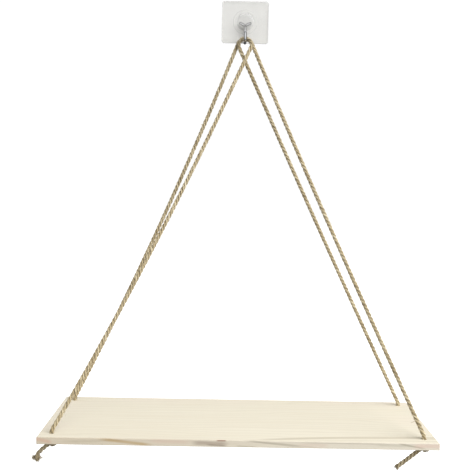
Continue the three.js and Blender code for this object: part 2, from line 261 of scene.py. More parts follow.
class NodeGraph:
    """The nodes of one material or world."""

    def __init__(self, owner: Material | bpy.types.World) -> None:
        """Empties the node tree of its owner.

        Args:
            owner: The material or the world.
        """
        owner.use_nodes = True
        self.owner = owner
        self.tree = owner.node_tree
        self.tree.nodes.clear()

    @classmethod
    def of_material(cls, name: str) -> NodeGraph:
        """Makes a new material and the graph for its nodes."""
        return cls(bpy.data.materials.new(name))

    def add(
        self,
        kind: str,
        settings: dict[str, Any] | None = None,
        inputs: dict[str | int, Any] | None = None,
        output: str | int = 0,
    ) -> Signal:
        """Adds one node.

        Args:
            kind: The node's type.
            settings: Its properties, set first; "stops" are a colour ramp's (place, colour).
            inputs: Values or signals by socket name or number.
            output: The socket that comes back.

        Returns:
            The chosen output.
        """
        node = self.tree.nodes.new(kind)
        for name, value in (settings or {}).items():
            if name == "stops":
                self._set_stops(node.color_ramp, value)
            else:
                setattr(node, name, value)
        for name, value in (inputs or {}).items():
            socket = node.inputs[name]
            if isinstance(value, Signal):
                self.tree.links.new(value.socket, socket)
            else:
                socket.default_value = (*value, 1.0) if socket.type == "RGBA" else value
        return Signal(self, node.outputs[output])

    @staticmethod
    def _set_stops(ramp: bpy.types.ColorRamp, stops: Sequence[tuple[float, Colour]]) -> None:
        """Gives a colour ramp its stops.

        Args:
            ramp: The ramp.
            stops: The place and the colour of each stop.
        """
        while len(ramp.elements) < len(stops):
            ramp.elements.new(1.0)
        for element, (place, colour) in zip(ramp.elements, stops):
            element.position = place
            element.color = (*colour, 1.0)

    def mix(self, factor: Signal | float, a: Signal | Colour, b: Signal | Colour) -> Signal:
        """A colour from a at factor 0 to b at factor 1."""
        settings = {"data_type": "RGBA", "blend_type": "MIX", "clamp_factor": True}
        return self.add("ShaderNodeMix", settings, {0: factor, 6: a, 7: b}, output=2)

    def tinted(self, colour: Signal, shade: Signal) -> Signal:
        """A colour times a plain number."""
        return self.add("ShaderNodeVectorMath", {"operation": "SCALE"}, {0: colour, "Scale": shade})

    def stretched(self, place: Signal, by: Place) -> Signal:
        """Coordinates times a scale along each axis."""
        return self.add("ShaderNodeVectorMath", {"operation": "MULTIPLY"}, {0: place, 1: by})

    def noise(self, place: Signal, by: Place, detail: float = 2.0, rough: float = 0.5) -> Signal:
        """Adds a noise on stretched coordinates.

        Args:
            place: The coordinates.
            by: Their scale along each axis.
            detail: How many finer layers it has.
            rough: How strong these are.

        Returns:
            The noise, from 0 to 1.
        """
        vector = self.stretched(place, by)
        inputs = {"Vector": vector, "Scale": 1.0, "Detail": detail, "Roughness": rough}
        return self.add("ShaderNodeTexNoise", {"noise_dimensions": "3D"}, inputs)

    def parts(self, vector: Signal) -> list[Signal]:
        """The X, Y and Z of a vector."""
        node = self.add("ShaderNodeSeparateXYZ", {}, {0: vector}).socket.node
        return [Signal(self, output) for output in node.outputs]

    def distance(self, place: Signal) -> Signal:
        """Distance from the hook's middle, measured along the wall."""
        flat = self.stretched(place, (1.0, 0.0, 1.0))
        return self.add("ShaderNodeVectorMath", {"operation": "LENGTH"}, {0: flat}, output="Value")

    def object_place(self) -> Signal:
        """The Object coordinates, which are the frame's own, in metres."""
        return self.add("ShaderNodeTexCoord", output="Object")

    def attribute(self, name: str, output: str) -> Signal:
        """One output of a mesh attribute."""
        return self.add("ShaderNodeAttribute", {"attribute_name": name}, output=output)

    def bump(self, height: Signal, distance: float, strength: float) -> Signal:
        """A bent normal from a height."""
        inputs = {"Height": height, "Distance": distance, "Strength": strength}
        return self.add("ShaderNodeBump", {}, inputs, output="Normal")

    def surface(self, **inputs: Any) -> Material:
        """Ends the graph in one Principled surface.

        Args:
            inputs: Its sockets, with "_" for each space in a name.

        Returns:
            The finished material.
        """
        named = {name.replace("_", " "): value for name, value in inputs.items()}
        self._end("ShaderNodeOutputMaterial", self.add("ShaderNodeBsdfPrincipled", {}, named))
        return self.owner

    def sky(self, colour: Colour, strength: Signal) -> None:
        """Ends the graph in a world background."""
        inputs = {"Color": colour, "Strength": strength}
        self._end("ShaderNodeOutputWorld", self.add("ShaderNodeBackground", {}, inputs))

    def _end(self, kind: str, shader: Signal) -> None:
        """Adds an output node behind a shader."""
        self.tree.links.new(shader.socket, self.tree.nodes.new(kind).inputs["Surface"])


# Finishes


@dataclass(frozen=True)
class JuteFinish:
    """Three-strand jute: pale dry fibres with darker ones between, and painted shade in its lay
    grooves.

    It is painted darker below the board, as painted shade under it and in its holes, and near the
    top of its bend over the hook, as painted shade in the hook's loop.
    """

    board_bottom: float
    shade: Colour = (0.22, 0.155, 0.075)
    body: Colour = (0.50, 0.405, 0.235)
    bright: Colour = (0.80, 0.71, 0.51)
    fibres_per_metre: float = 2300.0
    # Painted shade in the lay grooves.
    groove_shade: float = 0.40
    # Painted shade below the board.
    handled_shade: float = 0.72
    # Painted shade where the rope bends over the hook, between these heights.
    rubbed_shade: float = 0.74
    rub_heights: tuple[float, float] = (-40 * MM, -27 * MM)
    roughness: float = 0.92

    def material(self) -> Material:
        """Builds the material."""
        graph = NodeGraph.of_material("laid_jute")
        place = graph.attribute("fibre", "Vector")
        across = self.fibres_per_metre
        fibres = graph.noise(place, (across, across, across * 0.05), 4.0, 0.65)
        wisps = graph.noise(place, (across * 0.45, across * 0.45, across * 0.09), 3.0, 0.6)
        along = graph.noise(place, (40.0, 40.0, 33.0), 2.0)
        tone = fibres * 0.6 + wisps * 0.3 + along * 0.35 - 0.125
        settings = {"stops": [(0.36, self.shade), (0.50, self.body), (0.64, self.bright)]}
        colour = graph.add("ShaderNodeValToRGB", settings, {"Fac": tone}, output="Color")
        # Painted shade: strands are darkened where they lie deep in the rope, in its lay grooves.
        proud = graph.attribute("proud", "Fac").step(0.50, 0.94)
        z = graph.parts(graph.object_place())[2]
        # Painted shade below the board's underside and up into its holes.
        painted_shade_factor = z.step(self.board_bottom - 4 * MM, self.board_bottom + 6 * MM)
        painted_shade_factor = painted_shade_factor * (1 - self.handled_shade) + self.handled_shade
        # Painted shade near the top, where the rope bends over the hook.
        painted_shade_factor = painted_shade_factor * (1 - z.step(*self.rub_heights) * (1 - self.rubbed_shade))
        shade = (proud * (1 - self.groove_shade) + self.groove_shade) * painted_shade_factor
        return graph.surface(
            Base_Color=graph.tinted(colour, shade),
            Roughness=fibres * 0.12 + (self.roughness - 0.06),
            Specular_IOR_Level=0.25,
            Sheen_Weight=0.25,
            Sheen_Roughness=0.6,
            Normal=graph.bump(fibres + wisps * 0.8, 0.25 * MM, 0.8),
        )


@dataclass(frozen=True)
class EdgeStreak:
    """A coloured streak in the board's front edge, which slants between two heights.

    Its lengths are in millimetres, and its heights from the board's top.
    """

    start: float
    end: float
    height_at_start: float
    height_at_end: float
    half_width: float
    strength: float
    colour: Colour

    def mask(self, x: Signal, height: Signal, waver: Signal) -> Signal:
        """How much of the streak shows, from 0 to its strength.

        Args:
            x: X of a place of the edge.
            height: Its height from the board's top.
            waver: A small length that bends the streak.

        Returns:
            The share that shows there.
        """
        length = self.end - self.start
        slope = (self.height_at_end - self.height_at_start) / length
        off = height + waver - ((x - self.start) * slope + self.height_at_start)
        ends = x.step(self.start, self.start + length / 4) * x.step(self.end, self.end - length / 4)
        return off.line(self.half_width) * ends * self.strength


@dataclass(frozen=True)
class GrainLine:
    """A dark grain line of the board's top, which leaves its front edge and runs back from it.

    Its lengths are in millimetres.
    """

    start: float
    run: float
    reach: float
    behind: float
    half_width: float
    strength: float

    def mask(self, x: Signal, from_front: Signal, waver: Signal) -> Signal:
        """How much of the line shows, from 0 to its strength.

        Args:
            x: X of a place of the top.
            from_front: Its distance behind the board's front edge.
            waver: A small length that bends the line.

        Returns:
            The share that shows there.
        """
        share = x.ramp(self.start, self.start + self.run)
        off = from_front + waver - share * (2 - share) * self.reach - self.behind
        shown = x.step(self.start - 6, self.start + 45)
        return off.line(self.half_width) * shown * self.strength


@dataclass(frozen=True)
class WoodFinish:
    """Pale sanded softwood, with fine grain along X and a few darker year rings.

    Its lengths are in millimetres.
    """

    half_length: float
    depth: float
    top: float
    pale: Colour = (0.855, 0.806, 0.672)
    warm: Colour = (0.780, 0.712, 0.560)
    blush: Colour = (0.845, 0.745, 0.640)
    ring: Colour = (0.50, 0.44, 0.33)
    # The front edge's own darker tone, with painted shade at the left and painted light at the
    # right.
    edge_left: Colour = (0.60, 0.515, 0.385)
    edge_right: Colour = (0.705, 0.650, 0.540)
    end_grain: Colour = (0.60, 0.50, 0.37)
    ring_spacing: float = 7.5
    lines: tuple[GrainLine, ...] = (
        GrainLine(3, 203, 14.6, 0.0, 1.2, 0.60),
        GrainLine(20, 186, 14.6, 3.9, 1.8, 0.55),
        GrainLine(60, 150, 6.0, 1.0, 0.9, 0.35),
    )
    streaks: tuple[EdgeStreak, ...] = (
        EdgeStreak(-232, -206, -0.6, -5.4, 2.0, 0.55, (0.62, 0.37, 0.27)),
        EdgeStreak(-200, -128, -4.0, -2.2, 1.6, 0.45, (0.48, 0.42, 0.30)),
        EdgeStreak(-160, -92, -0.6, -7.0, 1.7, 0.85, (0.47, 0.33, 0.16)),
        EdgeStreak(-104, -50, -2.5, -3.2, 2.4, 0.50, (0.66, 0.50, 0.40)),
        EdgeStreak(-56, -8, -3.6, -5.0, 2.7, 0.80, (0.40, 0.33, 0.26)),
        EdgeStreak(-38, -12, -5.6, -6.8, 0.9, 0.70, (0.27, 0.21, 0.16)),
        EdgeStreak(-26, -13, -1.1, -0.9, 0.7, 0.95, (0.24, 0.11, 0.07)),
        EdgeStreak(-6, 22, -6.6, -7.2, 0.6, 0.70, (0.34, 0.30, 0.20)),
        EdgeStreak(2, 76, 0.2, -6.6, 1.1, 0.72, (0.38, 0.34, 0.26)),
        EdgeStreak(34, 96, -1.6, -7.4, 0.7, 0.50, (0.44, 0.38, 0.30)),
        EdgeStreak(60, 175, -0.9, -1.6, 0.8, 0.50, (0.48, 0.43, 0.34)),
        EdgeStreak(62, 104, -4.0, -4.4, 2.4, 0.45, (0.66, 0.52, 0.43)),
        EdgeStreak(148, 196, -2.6, -3.0, 1.6, 0.40, (0.50, 0.47, 0.37)),
        EdgeStreak(176, 212, -0.4, -6.6, 1.0, 0.75, (0.42, 0.38, 0.29)),
        EdgeStreak(192, 232, -3.0, -3.4, 2.4, 0.42, (0.74, 0.51, 0.42)),
    )

    def material(self) -> Material:
        """Builds the material."""
        graph = NodeGraph.of_material("pale_softwood")
        place = graph.object_place()
        x, y, z = (part / MM for part in graph.parts(place))
        from_front, height = y + self.depth, z - self.top
        broad = graph.noise(place, (3.0, 16.0, 16.0), 2.0)
        bands = graph.noise(place, (5.0, 210.0, 210.0), 3.0, 0.6).step(0.30, 0.70)
        fibres = graph.noise(place, (34.0, 2400.0, 2400.0), 3.0, 0.6).step(0.30, 0.70)
        sway = graph.noise(place, (9.0, 30.0, 30.0), 1.0)
        waver = (sway - 0.5) * 2.4

        tone = broad * 0.30 + bands * 0.38 + fibres * 0.22 + 0.12
        colour = graph.mix(tone, self.warm, self.pale)
        near_ends = x.size().step(self.half_length * 0.76, self.half_length)
        near_back = from_front.step(self.depth - 34, self.depth - 6)
        flush = graph.noise(place, (12.0, 30.0, 30.0), 2.0).step(0.35, 0.65)
        colour = graph.mix((near_ends * 0.4 + near_back * 0.3) * flush, colour, self.blush)

        across = (from_front + height * 0.6 + broad * 60) / self.ring_spacing
        late = (across + sway * 1.5).fraction()
        ring = late.step(0.62, 0.93) * late.step(1.0, 0.95)
        colour = graph.mix(ring * (bands * 0.14 + 0.05), colour, self.ring)
        on_top = height.step(-0.9, -0.5)
        for line in self.lines:
            colour = graph.mix(line.mask(x, from_front, waver) * on_top, colour, self.ring)

        # The front edge has its own darker tone; it is painted darker towards the left and lighter
        # towards the right, as painted light falling from the right.
        along = x.ramp(-1.2 * self.half_length, 0.5 * self.half_length)
        edge = graph.mix(along, self.edge_left, self.edge_right)
        on_front = from_front.step(0.9, 0.4)
        colour = graph.mix(on_front * (bands * 0.25 + 0.75), colour, edge)
        for streak in self.streaks:
            mask = streak.mask(x, height, waver) * (bands * 0.4 + 0.7)
            colour = graph.mix(mask * on_front, colour, streak.colour)
        at_end = x.size().step(self.half_length - 0.9, self.half_length - 0.4)
        return graph.surface(
            Base_Color=graph.mix(at_end * (ring * 0.5 + 0.4), colour, self.end_grain),
            Roughness=fibres * 0.12 + 0.52,
            Specular_IOR_Level=0.35,
            Normal=graph.bump(bands * 0.3 + fibres * 0.7 - ring * 0.3, 0.10 * MM, 0.35),
        )


class ClearFinish:
    """Clear gloss moulding, seen as a faint shell that is denser where it bends and painted darker
    there, as painted shade for the light that its bends refract away.
    """

    name: str
    face_alpha: float = 0.07
    bend_alpha: float = 0.42
    face_tint: Colour = (0.95, 0.95, 0.93)
    bend_tint: Colour = (0.62, 0.62, 0.60)

    def bends(self, graph: NodeGraph, place: Signal) -> Signal:
        """Where the moulding bends away, from 0 to 1."""
        raise NotImplementedError

    def material(self) -> Material:
        """Builds the material."""
        graph = NodeGraph.of_material(self.name)
        place = graph.object_place()
        flow = graph.noise(place, (60.0, 60.0, 60.0), 2.0)
        scuffs = graph.noise(place, (900.0, 900.0, 120.0), 2.0)
        bend = self.bends(graph, place)
        return graph.surface(
            # Painted shade: the bends are tinted darker for the light that they refract away.
            Base_Color=graph.mix(bend, self.face_tint, self.bend_tint),
            Roughness=scuffs * 0.06 + 0.05,
            IOR=1.49,
            Alpha=bend * (self.bend_alpha - self.face_alpha) + flow * 0.04 + self.face_alpha,
            Normal=graph.bump(flow, 0.3 * MM, 0.15),
        )


class PlateFinish(ClearFinish):
    """The plate's moulding, denser and painted darker along its outer border and round its seat."""

    name = "clear_plate"

    def bends(self, graph: NodeGraph, place: Signal) -> Signal:
        """Marks the plate's border and the seat's rim.

        Args:
            graph: The material's graph.
            place: The Object coordinates.

        Returns:
            Where the plate bends away, from 0 to 1.
        """
        x, y, z = graph.parts(place)
        side, end = (
            part.size().step(half - 0.9 * MM, half - 0.1 * MM)
            for part, half in ((x, HOOK.plate_width / 2), (z, HOOK.plate_height / 2))
        )
        away, seat = graph.distance(place), HOOK.seat_radius
        rim = away.step(seat - 0.8 * MM, seat - 0.1 * MM) * away.step(seat + 0.1 * MM, seat)
        proud = y.step(HOOK.plate_front - 0.1 * MM, HOOK.plate_front - 0.3 * MM)
        return side + end - side * end + rim * proud * 0.8


class CapFinish(ClearFinish):
    """The cap's moulding, denser and painted darker round its shoulder."""

    name = "clear_cap"
    face_alpha = 0.03
    bend_alpha = 0.30
    bend_tint = (0.60, 0.60, 0.59)

    def bends(self, graph: NodeGraph, place: Signal) -> Signal:
        """Marks the cap's rounded shoulder, with more painted shade above the middle, for the dark
        arc that the dome's top refracts.

        Args:
            graph: The material's graph.
            place: The Object coordinates.

        Returns:
            Where the cap bends away, from 0 to 1.
        """
        z, edge = graph.parts(place)[2], HOOK.cap_radius
        shoulder = graph.distance(place).step(edge - 3.0 * MM, edge - 0.6 * MM)
        # More painted shade on the upper half, where the dome's top refracts a dark arc.
        return shoulder * (z.step(0.0, 8 * MM) * 0.75 + 0.25)


@dataclass(frozen=True)
class FilmFinish:
    """Adhesive film: milky, and a little uneven where it has wetted the wall."""

    tint: Colour = (0.765, 0.76, 0.735)
    wet: Colour = (0.715, 0.71, 0.69)

    def material(self) -> Material:
        """Builds the material."""
        graph = NodeGraph.of_material("milky_film")
        place = graph.object_place()
        patches = graph.noise(place, (55.0, 55.0, 55.0), 3.0, 0.55).step(0.3, 0.7)
        specks = graph.noise(place, (700.0, 700.0, 700.0), 1.0)
        return graph.surface(
            Base_Color=graph.mix(patches, self.tint, self.wet),
            Roughness=specks * 0.2 + 0.5,
            Specular_IOR_Level=0.15,
            Alpha=patches * 0.05 + 0.93,
            Normal=graph.bump(specks, 0.05 * MM, 0.3),
        )


@dataclass(frozen=True)
class SteelFinish:
    """Drawn and polished steel wire, with faint lines along it, and painted shade where the cap
    covers it.
    """

    tint: Colour = (0.74, 0.75, 0.77)
    dull: Colour = (0.60, 0.61, 0.63)
    covered: Colour = (0.60, 0.60, 0.60)

    def material(self) -> Material:
        """Builds the material."""
        graph = NodeGraph.of_material("polished_wire")
        place = graph.object_place()
        drawn = graph.noise(place, (1500.0, 200.0, 200.0), 2.0)
        smear = graph.noise(place, (260.0, 260.0, 260.0), 3.0)
        colour = graph.mix(smear.step(0.35, 0.7), self.tint, self.dull)
        # Painted shade on the wire under the cap, where it is seen through the clear moulding.
        cap_shade_share = graph.distance(place).step(HOOK.cap_radius + 1 * MM, HOOK.cap_radius - 2 * MM)
        return graph.surface(
            Base_Color=graph.mix(cap_shade_share, colour, self.covered),
            Metallic=1.0,
            Roughness=drawn * 0.10 + smear * 0.10 + 0.06,
            Normal=graph.bump(drawn, 0.02 * MM, 0.2),
        )


@dataclass(frozen=True)
class FloorFinish:
    """Plain pale studio floor."""

    tint: Colour = (0.97, 0.97, 0.97)
    glow: float = 0.8

    def material(self) -> Material:
        """Builds the material."""
        return NodeGraph.of_material("pale_floor").surface(
            Base_Color=self.tint,
            Roughness=0.8,
            Emission_Color=self.tint,
            Emission_Strength=self.glow,
        )


# Lines, tubes and meshes


@dataclass
class Tube:
    """One round tube of a sweep.

    Attributes:
        points: Its centre line, one row for each ring.
        radii: Its radius at each ring.
        core: The line that it is laid round, for how proud each point stands.
        turn: Angle at each ring by which its fibres have wound round it.
        shift: An offset that gives each tube its own stretch of pattern.
    """

    points: np.ndarray
    radii: np.ndarray
    core: np.ndarray | None = None
    turn: np.ndarray | None = None
    shift: float = 0.0


def travelled(points: np.ndarray) -> np.ndarray:
    """The distance along a line at each of its points."""
    steps = np.linalg.norm(np.diff(points, axis=0), axis=1)
    return np.concatenate([[0.0], np.cumsum(steps)])


def spaced(points: np.ndarray, spacing: float) -> np.ndarray:
    """Places the points of a line anew.

    Args:
        points: The line.
        spacing: About how far its new points lie apart.

    Returns:
        The same line with evenly spaced points.
    """
    along = travelled(points)
    places = np.linspace(0.0, along[-1], max(2, round(along[-1] / spacing) + 1))
    return np.stack([np.interp(places, along, points[:, k]) for k in range(3)], axis=1)


def curved(start: np.ndarray, middle: np.ndarray, end: np.ndarray, count: int) -> np.ndarray:
    """Points of a quadratic curve, which heads for its middle point from both ends."""
    t = np.linspace(0.0, 1.0, count)[:, None]
    return (1 - t) ** 2 * start + 2 * t * (1 - t) * middle + t ** 2 * end


def smoothed(points: Sequence[Vector], steps: int = 12) -> np.ndarray:
    """A Catmull-Rom line through given points.

    Args:
        points: The points.
        steps: How many stretches each gap between them gets.

    Returns:
        The points of the line.
    """
    knots = [2 * points[0] - points[1], *points, 2 * points[-1] - points[-2]]
    line = []
    for a, b, c, d in zip(knots, knots[1:], knots[2:], knots[3:]):
        for t in np.arange(steps) / steps:
            ahead = (b * 2) + (c - a) * t + (a * 2 - b * 5 + c * 4 - d) * t * t
            line.append((ahead + (b * 3 - a - c * 3 + d) * t ** 3) / 2)
    return np.array([tuple(p) for p in (*line, points[-1])])


def frames(points: np.ndarray) -> tuple[np.ndarray, np.ndarray, np.ndarray]:
    """Tangents and two side directions along a line, without twist.

    Args:
        points: The line.

    Returns:
        Tangents, first sides and second sides, one row for each point.
    """
    tangents = np.gradient(points, axis=0)
    tangents /= np.linalg.norm(tangents, axis=1)[:, None]
    sides = np.zeros_like(points)
    sides[0] = tuple(Vector(tangents[0]).orthogonal().normalized())
    for i in range(1, len(points)):
        side = sides[i - 1] - tangents[i] * (sides[i - 1] @ tangents[i])
        sides[i] = side / np.linalg.norm(side)
    return tangents, sides, np.cross(tangents, sides)


def sweep(name: str, tubes: Sequence[Tube], resolution: int) -> Piece:
    """Makes closed round tubes as one mesh.

    The mesh gets the attributes that jute reads: "fibre", the place on each tube as if it lay
    straight, and "proud", from 0 in the middle of the rope to 1 at its outside.

    Args:
        name: The piece's name.
        tubes: The tubes.
        resolution: Blender's bevel resolution, which gives 4 sides and 2 more for each.

    Returns:
        The mesh object, at the origin.
    """
    curve = bpy.data.curves.new(name, "CURVE")
    curve.dimensions = "3D"
    curve.bevel_depth = 1.0
    curve.bevel_resolution = resolution
    curve.use_fill_caps = True
    for tube in tubes:
        spline = curve.splines.new("POLY")
        spline.points.add(len(tube.points) - 1)
        rows = np.concatenate([tube.points, np.ones((len(tube.points), 1))], axis=1)
        spline.points.foreach_set("co", rows.ravel())
        spline.points.foreach_set("radius", tube.radii)
        spline.use_smooth = True
    mesh = applied(link(name + "_line", curve), name)
    bpy.data.curves.remove(curve)
    write_fibres(mesh, tubes, 4 + 2 * resolution)
    shape = bmesh.new()
    shape.from_mesh(mesh)
    bmesh.ops.remove_doubles(shape, verts=shape.verts, dist=0.0001 * MM)
    shape.to_mesh(mesh)
    shape.free()
    return link(name, mesh)


def write_fibres(mesh: bpy.types.Mesh, tubes: Sequence[Tube], ring: int) -> None:
    """Writes the "fibre" and "proud" attributes of swept tubes.

    The mesh holds the rings of both end caps first, from the last tube to the first, and then
    the rings of each tube in order.

    Args:
        mesh: The tubes' mesh.
        tubes: The tubes.
        ring: How many points a ring has.
    """
    places = np.zeros(len(mesh.vertices) * 3)
    mesh.vertices.foreach_get("co", places)
    places = places.reshape(-1, 3)
    fibre, proud = np.zeros_like(places), np.ones(len(places))
    cap = first = 2 * ring * len(tubes)
    for tube in tubes:
        part = slice(first, first + len(tube.points) * ring)
        first = part.stop
        rings = places[part].reshape(-1, ring, 3)
        _, one, two = frames(tube.points if tube.core is None else tube.core)
        out = rings - tube.points[:, None]
        angle = np.arctan2((out * two[:, None]).sum(2), (out * one[:, None]).sum(2))
        radii = tube.radii[:, None]
        if tube.turn is not None:
            angle = angle + tube.turn[:, None]
            away = np.linalg.norm(rings - tube.core[:, None], axis=2)
            proud[part] = np.minimum(away / (radii * 2), 1.0).ravel()
        along = travelled(tube.points)[:, None].repeat(ring, 1)
        rows = [radii * np.cos(angle) + tube.shift, radii * np.sin(angle), along]
        fibre[part] = np.stack(rows, axis=2).reshape(-1, 3)
        for start in (part.start, part.stop - ring):
            for values in (fibre, proud):
                values[cap - ring : cap] = values[start : start + ring]
            cap -= ring
    if first != len(places):
        raise ValueError(f"{mesh.name}: {len(places)} points, and its tubes have {first}")
    mesh.attributes.new("fibre", "FLOAT_VECTOR", "POINT").data.foreach_set("vector", fibre.ravel())
    mesh.attributes.new("proud", "FLOAT", "POINT").data.foreach_set("value", proud)


def link(name: str, data: bpy.types.ID) -> Piece:
    """Puts data into the scene as an object at the origin.

    Args:
        name: The object's name.
        data: Its mesh, curve, camera or light.

    Returns:
        The object.
    """
    piece = bpy.data.objects.new(name, data)
    bpy.context.scene.collection.objects.link(piece)
    return piece


def applied(source: Piece, name: str) -> bpy.types.Mesh:
    """Turns an object's bevel or modifiers into a plain mesh and takes the object out.

    Args:
        source: The object.
        name: The mesh's name.

    Returns:
        The mesh.
    """
    bpy.context.view_layer.update()
    graph = bpy.context.evaluated_depsgraph_get()
    mesh = bpy.data.meshes.new_from_object(source.evaluated_get(graph))
    bpy.data.objects.remove(source)
    mesh.name = name
    return mesh


def finish_mesh(name: str, shape: Shape, smooth_angle: float = 40.0) -> Piece:
    """Ends a bmesh as a linked and shaded object.

    Args:
        name: The piece's name.
        shape: The bmesh, which is freed.
        smooth_angle: Edges above it stay sharp, in degrees.

    Returns:
        The piece.
    """
    mesh = bpy.data.meshes.new(name)
    shape.to_mesh(mesh)
    shape.free()
    return shaded(link(name, mesh), smooth_angle)


def shaded(piece: Piece, smooth_angle: float = 40.0) -> Piece:
    """Shades a piece smooth, but for its sharp edges and its flat faces square to an axis.

    Args:
        piece: The piece.
        smooth_angle: Edges above it stay sharp, in degrees.

    Returns:
        The piece.
    """
    mesh = piece.data
    mesh.shade_smooth()
    mesh.set_sharp_from_angle(angle=math.radians(smooth_angle))
    for face in mesh.polygons:
        face.use_smooth = max(abs(part) for part in face.normal) < 0.99999
    return piece


def add_box(shape: Shape, low: Place, high: Place) -> None:
    """Adds a box to a bmesh.

    Args:
        shape: The bmesh.
        low: The box's lowest corner.
        high: Its highest corner.
    """
    low, high = Vector(low), Vector(high)
    place = Matrix.Translation((low + high) / 2) @ Matrix.Diagonal((*(high - low), 1.0))
    bmesh.ops.create_cube(shape, size=1.0, matrix=place)


def ease(shape: Shape, edges: Iterable[bmesh.types.BMEdge], by: float, segments: int) -> None:
    """Rounds edges of a bmesh.

    Args:
        shape: The bmesh.
        edges: The edges.
        by: How far from each edge the rounding starts.
        segments: How many faces it has across.
    """
    bmesh.ops.bevel(
        shape,
        geom=list(edges),
        offset=by,
        offset_type="OFFSET",
        segments=segments,
        profile=0.5,
        affect="EDGES",
        clamp_overlap=True,
        material=-1,
    )


def dress(piece: Piece, material: Material) -> None:
    """Gives a piece its material, and logs it.

    Args:
        piece: The piece.
        material: Its material.
    """
    piece.data.materials.clear()
    piece.data.materials.append(material)
    log.info("%s: %d faces", piece.name, len(piece.data.polygons))


# Ropes


@dataclass(frozen=True)
class Lay:
    """How three strands are laid into a rope."""

    strands: int = 3
    length: float = 17 * MM
    offset_share: float = 0.66
    strand_share: float = 0.61
    ring_spacing: float = 0.9 * MM
    unevenness: float = 0.07
    resolution: int = 3

    def tubes(self, core: np.ndarray, radii: np.ndarray, seed: int) -> list[Tube]:
        """Lays strands round a line.

        Args:
            core: The rope's centre line.
            radii: The rope's radius at each point.
            seed: Picks the unevenness.

        Returns:
            One tube for each strand.
        """
        _, one, two = frames(core)
        along = travelled(core)
        tubes = []
        for strand in range(self.strands):
            uneven = self._uneven(along, seed * 31.7 + strand * 7.3)
            angle = 2 * math.pi * (strand / self.strands - along / self.length)
            angle = angle + self._uneven(along, seed * 5.1 + strand * 3.9 + 50.0) * 4.0
            out = one * np.cos(angle)[:, None] + two * np.sin(angle)[:, None]
            tubes.append(
                Tube(
                    points=core + out * (radii * self.offset_share)[:, None],
                    radii=radii * self.strand_share * (1 + uneven),
                    core=core,
                    turn=-angle * self.offset_share / self.strand_share,
                    shift=(seed * 3 + strand) * 31 * MM,
                )
            )
        return tubes

    def _uneven(self, along: np.ndarray, start: float) -> np.ndarray:
        """Picks a smooth random share along a rope.

        Args:
            along: The distance along the rope at each point.
            start: Picks the pattern.

        Returns:
            The share at each point, above or below zero.
        """
        shares = [
            noise.noise(Vector((place / (6 * MM), start, 0.0)))
            + noise.noise(Vector((place / (40 * MM), start, 9.0)))
            for place in along
        ]
        return np.array(shares) * self.unevenness


@dataclass(frozen=True)
class RopeRoute:
    """The centre line of one rope, from under one hole, over the hook, to under the other hole.

    Its formula and its sizes are the part's own.

    Attributes:
        corners: The holes at its two ends.
        sags: How far each of its arms hangs below a straight line.
        bend_radius: Radius of its bend over the hook.
        crossed: Whether its arms cross below the hook.
        low: The board's lowest corner.
        high: The board's highest corner.
    """

    corners: tuple[Corner, Corner]
    sags: tuple[float, float]
    bend_radius: float
    crossed: bool
    low: Vector
    high: Vector
    bend_steps: int = 160
    arm_steps: int = 400
    entry_steps: int = 12

    @property
    def apex(self) -> np.ndarray:
        """Where the rope lies on the hook."""
        return np.array([0.0, HOOK.rope_y(self.crossed), HOOK.rope_top])

    def hole(self, corner: Corner, z: float) -> np.ndarray:
        """Finds a place on a hole's axis.

        Args:
            corner: The hole.
            z: The height of the place.

        Returns:
            The place.
        """
        side, row = corner.value
        y = self.high.y - ROPE.hole_inset if row else self.low.y + ROPE.hole_inset
        return np.array([side * (self.high.x - ROPE.hole_inset), y, z])

    def _leaving(self, middle: np.ndarray, bend_side: int) -> float:
        """Finds where the rope leaves its bend over the hook.

        Args:
            middle: The control point of the arm's curve.
            bend_side: The side of the bend that the arm leaves from (1 is right).

        Returns:
            The angle from the top of the bend.
        """
        across = bend_side * middle[0]
        down = middle[2] - (self.apex[2] - self.bend_radius)
        towards = math.atan2(across, down) % (2 * math.pi)
        return towards - math.acos(self.bend_radius / math.hypot(across, down))

    def _arm(self, start: np.ndarray, middle: np.ndarray, corner: Corner) -> np.ndarray:
        """Lays one arm from the bend to the board's underside.

        Args:
            start: The end of the bend.
            middle: The control point of the arm's curve.
            corner: The hole that the arm goes into.

        Returns:
            The arm's points.
        """
        turn_down = self.hole(corner, self.high.z + ROPE.entry_rise)
        arm = curved(start, middle, turn_down, self.arm_steps)
        left = travelled(arm)
        arm = arm[left <= left[-1] - ROPE.entry_rise]
        entry = curved(arm[-1], turn_down, self.hole(corner, self.high.z), self.entry_steps)
        return np.concatenate([arm[1:], entry[1:], [self.hole(corner, self.low.z)]])

    def line(self) -> np.ndarray:
        """The whole route, from under the first hole to under the last."""
        apex, radius = self.apex, self.bend_radius
        middles, sides, leaving, drifts = [], [], [], []
        for corner, sag in zip(self.corners, self.sags):
            middle = (apex + self.hole(corner, self.high.z + ROPE.entry_rise)) / 2
            middle[2] -= 2 * sag
            middles.append(middle)
            sides.append(-corner.value[0] if self.crossed else corner.value[0])
            leaving.append(self._leaving(middle, sides[-1]))
            drifts.append((middle[1] - apex[1]) / np.linalg.norm(apex - middle))
        gain = sum(drifts) / (2 * radius * sum(leaving))

        def drifted(angle: np.ndarray | float) -> np.ndarray | float:
            """How far the rope has moved along Y at an angle of the bend."""
            length = radius * (angle + leaving[0])
            return length * (gain * length - drifts[0])

        angles = np.linspace(-leaving[0], leaving[1], self.bend_steps)
        x = sides[1] * radius * np.sin(angles)
        y = apex[1] + drifted(angles) - drifted(0.0)
        bend = np.stack([x, y, apex[2] - radius * (1 - np.cos(angles))], axis=1)
        first, last = map(self._arm, (bend[0], bend[-1]), middles, self.corners)
        return np.concatenate([first[::-1], bend, last])


